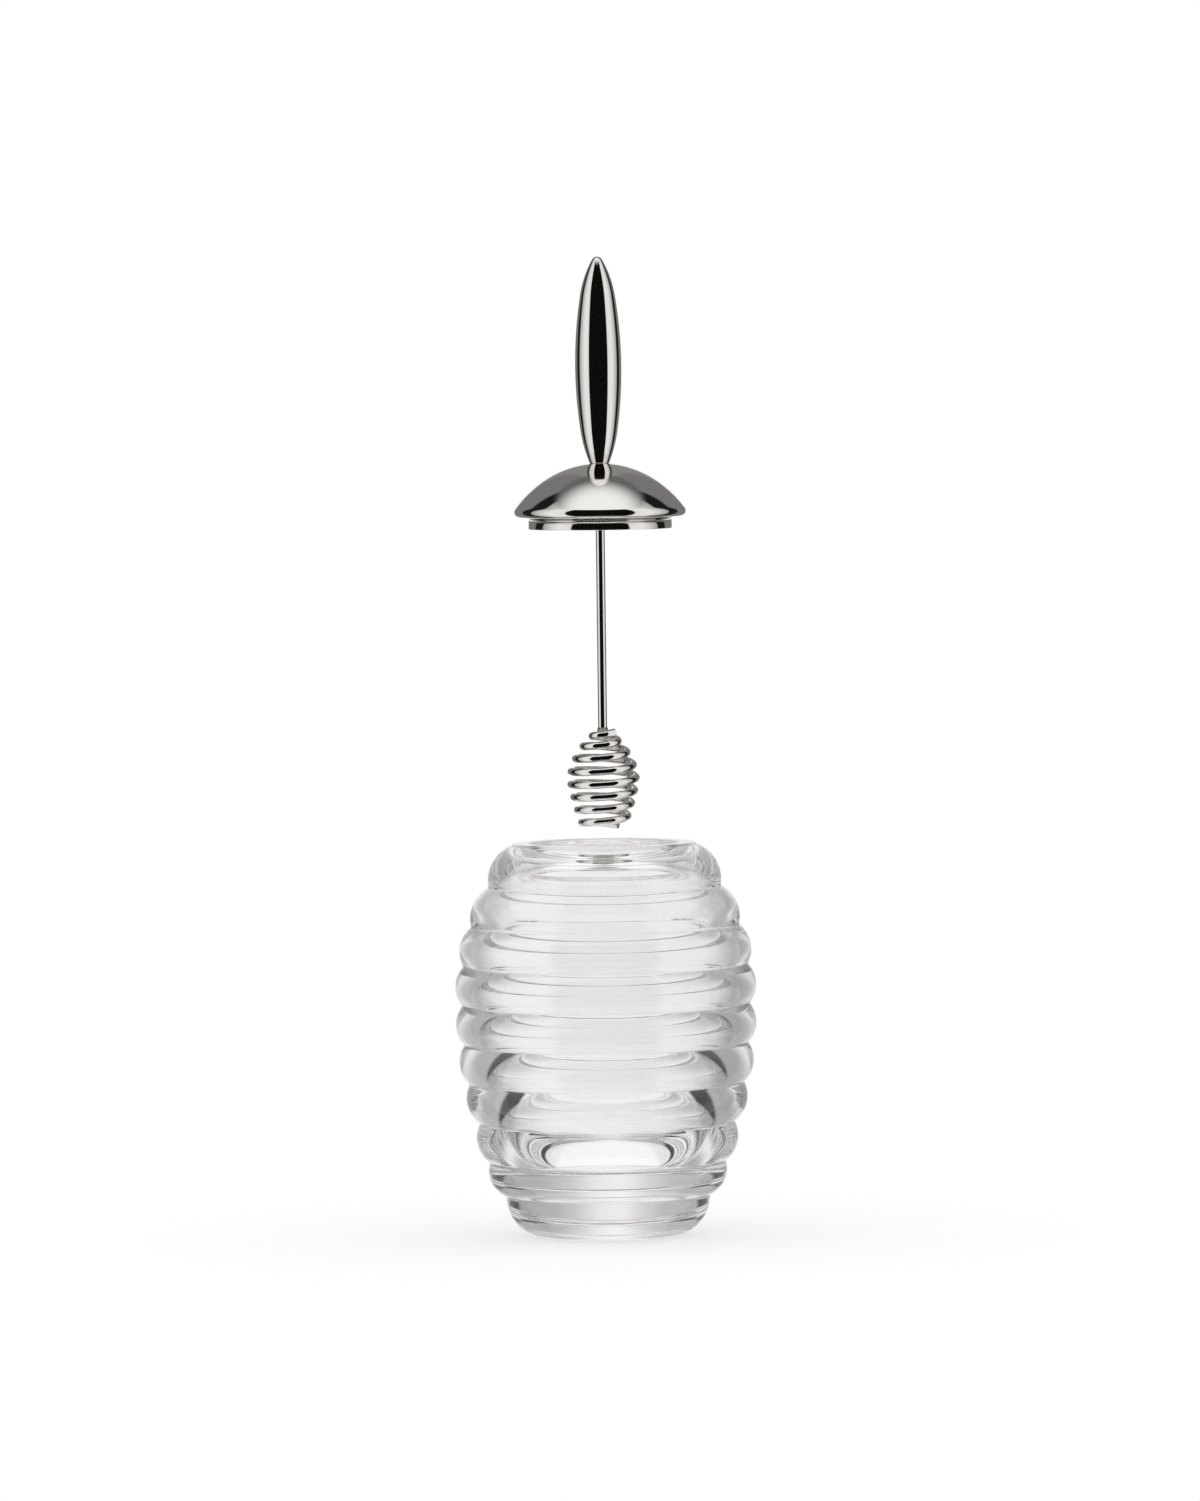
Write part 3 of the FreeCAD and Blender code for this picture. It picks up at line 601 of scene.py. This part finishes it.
handle_outline = outline([
    complex(0, BORE_DEPTH),
    complex(hole_radius, BORE_DEPTH),
    complex(hole_radius, 0),
    foot_edge,
    (flare, flare_radius, 1),
    (widest, swell_radius, 1),
    (nose, taper_radius, 1),
    (tip_edge, nose_radius, 1),
    (complex(0, HANDLE_LENGTH), TIP_RADIUS, 1),
])
handle_outline = soften(handle_outline, foot_edge, FOOT_SOFT)
spindle = turned("spindle", handle_outline, bright_steel, lift=seat + DOME_TOP)
place_piece(spindle, "handle", "lid")

# %% [markdown]
# The rod is straight bright steel, 2.8 mm thick, cut to length and chamfered at both ends. The bead is a
# short sleeve of braze between the rod's end and the coil's first turn, which holds the two together.
# Blender's own cylinder has no chamfer and no taper, so both are outlines too. They are thin, so fewer faces
# round the axis are enough.

# %% Rod and bead
ROD_DROP, ROD_CHAMFER, THREAD_DEPTH = 69.0, 0.3, 10.0
BEAD_RADIUS, BEAD_TOP_RADIUS, BEAD_HEIGHT = 1.8, 1.6, 3.45

rod_bottom, rod_top = seat - ROD_DROP, seat + DOME_TOP + THREAD_DEPTH
rod_outline = outline([
    complex(0, rod_bottom),
    complex(ROD_RADIUS - ROD_CHAMFER, rod_bottom),
    complex(ROD_RADIUS, rod_bottom + ROD_CHAMFER),
    complex(ROD_RADIUS, rod_top - ROD_CHAMFER),
    complex(ROD_RADIUS - ROD_CHAMFER, rod_top),
    complex(0, rod_top),
])
rod = turned("rod", rod_outline, bright_steel, around=AROUND_ROD)
place_piece(rod, "dipper_rod", "lid")

bead_outline = outline([
    complex(hole_radius, 0),
    complex(BEAD_RADIUS, 0),
    complex(BEAD_TOP_RADIUS, BEAD_HEIGHT),
    complex(hole_radius, BEAD_HEIGHT),
], closed=True)
bead = turned("bead", bead_outline, braze, True, rod_bottom + ROD_CHAMFER, AROUND_ROD)
place_piece(bead, "braze_bead", "lid")

# %% [markdown]
# The coil is one steel wire, wound cold on a shaped former and cut off square at both ends. Its radius stays
# close to the rod for a third of a turn, swells to the widest turn and tapers in again. The drop per turn
# eases from a close first turn to an even pitch. Each turn leans up a little at the back, and both ends run
# straight for one wire width. A Screw modifier can't change its radius or its pitch on the way, so the rule
# is written out: first here as a function, which gives the directions of the two ends.

# %% The coil's rule
TURNS, WRAP_TURNS, WIDEST_TURN, EASING_TURNS, TAPER_POWER = 7.64, 0.33, 4.0, 2.0, 1.3
WIRE_RADIUS, WIRE_ROOM, WIDE_DIAMETER, END_DIAMETER = 1.25, 0.5, 22.8, 15.2
FIRST_PITCH, PITCH, COIL_DROP, BACK_RISE = 2.5, 3.97, 67.0, 1.6
START_ANGLE = math.radians(-60)
SLOPE_STEP = 1e-4

wrap_radius = ROD_RADIUS + WIRE_ROOM + WIRE_RADIUS
wide_radius, end_radius = WIDE_DIAMETER / 2 - WIRE_RADIUS, END_DIAMETER / 2 - WIRE_RADIUS
coil_top, lean = seat - COIL_DROP, BACK_RISE / WIDE_DIAMETER


def winding(turn):
    """Place on the wire's centre line, in millimetres, after a number of turns from its top end."""
    opening = min(max((turn - WRAP_TURNS) / (WIDEST_TURN - WRAP_TURNS), 0), 1)
    closing = max((turn - WIDEST_TURN) / (TURNS - WIDEST_TURN), 0)
    radius = wrap_radius + (wide_radius - wrap_radius) * math.sin(opening * math.pi / 2)
    radius += (end_radius - wide_radius) * closing**TAPER_POWER
    eased = min(turn, EASING_TURNS)
    quickening = (PITCH - FIRST_PITCH) * eased**2 / (2 * EASING_TURNS)
    drop = FIRST_PITCH * eased + quickening + PITCH * (turn - eased)
    angle = START_ANGLE - 2 * math.pi * turn
    right, back = radius * math.cos(angle), radius * math.sin(angle)
    return Vector((right, back, coil_top - drop + lean * back))


def per_turn(turn):
    """How far the centre line moves per turn at a place, as a direction with a length."""
    return (winding(turn + SLOPE_STEP) - winding(turn - SLOPE_STEP)) / (2 * SLOPE_STEP)


top_run, low_run = per_turn(0), per_turn(TURNS)
print("coil: from", [round(mm, 1) for mm in winding(0)], "to", [round(mm, 1) for mm in winding(TURNS)], "mm")

# %% [markdown]
# Geometry nodes draw the wire by the same rule: a line of points, each with its own number of turns, is moved
# onto the winding and swept into a tube. The main sizes are named inputs of the tree, where they can be read
# and tried out in Blender. Most of the rule is sums, so they are a list: each row is one math node, with its
# name, what it does, and the inputs, earlier rows or numbers that go into it. MULTIPLY_ADD multiplies the
# first two and adds the third.

# %% The coil's sums
POINTS = 420
INPUTS = {
    "first turn": -2 * WIRE_RADIUS / top_run.length,
    "last turn": TURNS + 2 * WIRE_RADIUS / low_run.length,
    "turns": TURNS,
    "wrap radius": wrap_radius,
    "wide radius": wide_radius,
    "end radius": end_radius,
    "first pitch": FIRST_PITCH,
    "pitch": PITCH,
    "lean": lean,
    "wire radius": WIRE_RADIUS,
}
SUMS = [
    ("share", "DIVIDE", "index", POINTS - 1.0),
    ("span", "SUBTRACT", "last turn", "first turn"),
    ("reached", "MULTIPLY_ADD", "share", "span", "first turn"),
    ("from top", "MAXIMUM", "reached", 0.0),
    ("turn", "MINIMUM", "from top", "turns"),
    ("before", "MINIMUM", "reached", 0.0),
    ("beyond", "SUBTRACT", "reached", "turns"),
    ("after", "MAXIMUM", "beyond", 0.0),
    ("unwrapped", "MAXIMUM", "turn", WRAP_TURNS),
    ("swelling", "MINIMUM", "unwrapped", WIDEST_TURN),
    ("swelled", "SUBTRACT", "swelling", WRAP_TURNS),
    ("swell angle", "MULTIPLY", "swelled", math.pi / 2 / (WIDEST_TURN - WRAP_TURNS)),
    ("swell share", "SINE", "swell angle"),
    ("swell room", "SUBTRACT", "wide radius", "wrap radius"),
    ("swelled radius", "MULTIPLY_ADD", "swell share", "swell room", "wrap radius"),
    ("tapering", "MAXIMUM", "turn", WIDEST_TURN),
    ("tapered", "SUBTRACT", "tapering", WIDEST_TURN),
    ("taper turns", "SUBTRACT", "turns", WIDEST_TURN),
    ("taper ratio", "DIVIDE", "tapered", "taper turns"),
    ("taper share", "POWER", "taper ratio", TAPER_POWER),
    ("taper room", "SUBTRACT", "end radius", "wide radius"),
    ("radius", "MULTIPLY_ADD", "taper share", "taper room", "swelled radius"),
    ("eased", "MINIMUM", "turn", EASING_TURNS),
    ("eased square", "MULTIPLY", "eased", "eased"),
    ("quickening", "MULTIPLY", "eased square", 1 / (2 * EASING_TURNS)),
    ("pitch change", "SUBTRACT", "pitch", "first pitch"),
    ("quick drop", "MULTIPLY", "quickening", "pitch change"),
    ("easy drop", "MULTIPLY_ADD", "eased", "first pitch", "quick drop"),
    ("even turns", "SUBTRACT", "turn", "eased"),
    ("drop", "MULTIPLY_ADD", "even turns", "pitch", "easy drop"),
    ("turned angle", "MULTIPLY", "turn", 2 * math.pi),
    ("angle", "SUBTRACT", START_ANGLE, "turned angle"),
    ("cosine", "COSINE", "angle"),
    ("sine", "SINE", "angle"),
    ("right", "MULTIPLY", "radius", "cosine"),
    ("back", "MULTIPLY", "radius", "sine"),
    ("level", "SUBTRACT", coil_top, "drop"),
    ("height", "MULTIPLY_ADD", "back", "lean", "level"),
    ("wire section", "MULTIPLY", "wire radius", MM),
]
print("coil:", len(INPUTS), "inputs and", len(SUMS), "sums")

# %% [markdown]
# The tree takes the sums to a place for each point. Beyond both ends of the winding the wire runs straight,
# along the directions that were found before. The tube gets flat caps, and the tree ends by making the result
# real and giving it the steel.

# %% The coil's node tree
SECTION_POINTS = 24

tree = bpy.data.node_groups.new("wound_wire", "GeometryNodeTree")
sockets = {}
for name, value in INPUTS.items():
    sockets[name] = tree.interface.new_socket(name, in_out="INPUT", socket_type="NodeSocketFloat")
    sockets[name].default_value = value
tree.interface.new_socket("Geometry", in_out="OUTPUT", socket_type="NodeSocketGeometry")
given = add(tree, "NodeGroupInput").outputs

known = {name: given[name] for name in INPUTS}
known["index"] = add(tree, "GeometryNodeInputIndex")
for name, operation, *operands in SUMS:
    inputs = [known[operand] if isinstance(operand, str) else operand for operand in operands]
    known[name] = add(tree, "ShaderNodeMath", inputs, operation=operation, label=name)

place = add(tree, "ShaderNodeCombineXYZ", [known["right"], known["back"], known["height"]])
for run, end in ((top_run, "before"), (low_run, "after")):
    straight = add(tree, "ShaderNodeVectorMath", {0: run, "Scale": known[end]}, operation="SCALE")
    place = add(tree, "ShaderNodeVectorMath", [place, straight], operation="ADD")
place = add(tree, "ShaderNodeVectorMath", {0: place, "Scale": MM}, operation="SCALE")

line = add(tree, "GeometryNodeMeshLine", {"Count": POINTS})
moved = add(tree, "GeometryNodeSetPosition", {"Geometry": line, "Position": place})
curve = add(tree, "GeometryNodeMeshToCurve", {"Mesh": moved})
circle = {"Resolution": SECTION_POINTS, "Radius": known["wire section"]}
section = add(tree, "GeometryNodeCurvePrimitiveCircle", circle)
tube = add(tree, "GeometryNodeCurveToMesh", {"Curve": curve, "Profile Curve": section, "Fill Caps": True})
real = add(tree, "GeometryNodeRealizeInstances", {"Geometry": tube})
finished = add(tree, "GeometryNodeSetMaterial", {"Geometry": real, "Material": bright_steel})
add(tree, "NodeGroupOutput", [finished])
print("coil's tree:", len(tree.nodes), "nodes")

# %% [markdown]
# The tree runs once on an empty object, and its result becomes a plain mesh that can be exported. The tube is
# shaded smooth, apart from the square cuts at its ends.

# %% The coil itself
SHARP_ANGLE = math.radians(50)

wound = bpy.data.objects.new("wound", bpy.data.meshes.new("wound"))
bpy.context.scene.collection.objects.link(wound)
modifier = wound.modifiers.new("winding", "NODES")
modifier.node_group = tree
for name, value in INPUTS.items():
    modifier[sockets[name].identifier] = value
bpy.context.view_layer.update()
coil_mesh = bpy.data.meshes.new_from_object(wound.evaluated_get(bpy.context.evaluated_depsgraph_get()))
bpy.data.objects.remove(wound)
coil_mesh.name = "coil"
coil_mesh.shade_smooth()
coil_mesh.set_sharp_from_angle(angle=SHARP_ANGLE)
coil = bpy.data.objects.new("coil", coil_mesh)
bpy.context.scene.collection.objects.link(coil)
place_piece(coil, "dipper_coil", "lid")
print("coil:", len(coil_mesh.polygons), "faces")

# %% [markdown]
# The plate, sleeve, washer and nut sit inside the lid and hold it together. They could be drawn again too,
# but they hardly show and their measured shapes are already right. So they stay and only get the duller
# steel.

# %% Pieces inside the lid
INSIDE_LID = ("lid_plate", "spacer_sleeve", "clamp_washer", "clamp_nut")

for name in INSIDE_LID:
    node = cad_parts[name]
    node.data.materials.clear()
    node.data.materials.append(dull_steel)
print("plain steel on", ", ".join(INSIDE_LID))

# %% [markdown]
# Light crosses a ribbed jar through many faces, so it may bounce often before it is given up.

BOUNCES = 40

scene = bpy.context.scene
scene.view_settings.view_transform = "Standard"
for limit in ("max_bounces", "transmission_bounces", "glossy_bounces"):
    setattr(scene.cycles, limit, BOUNCES)
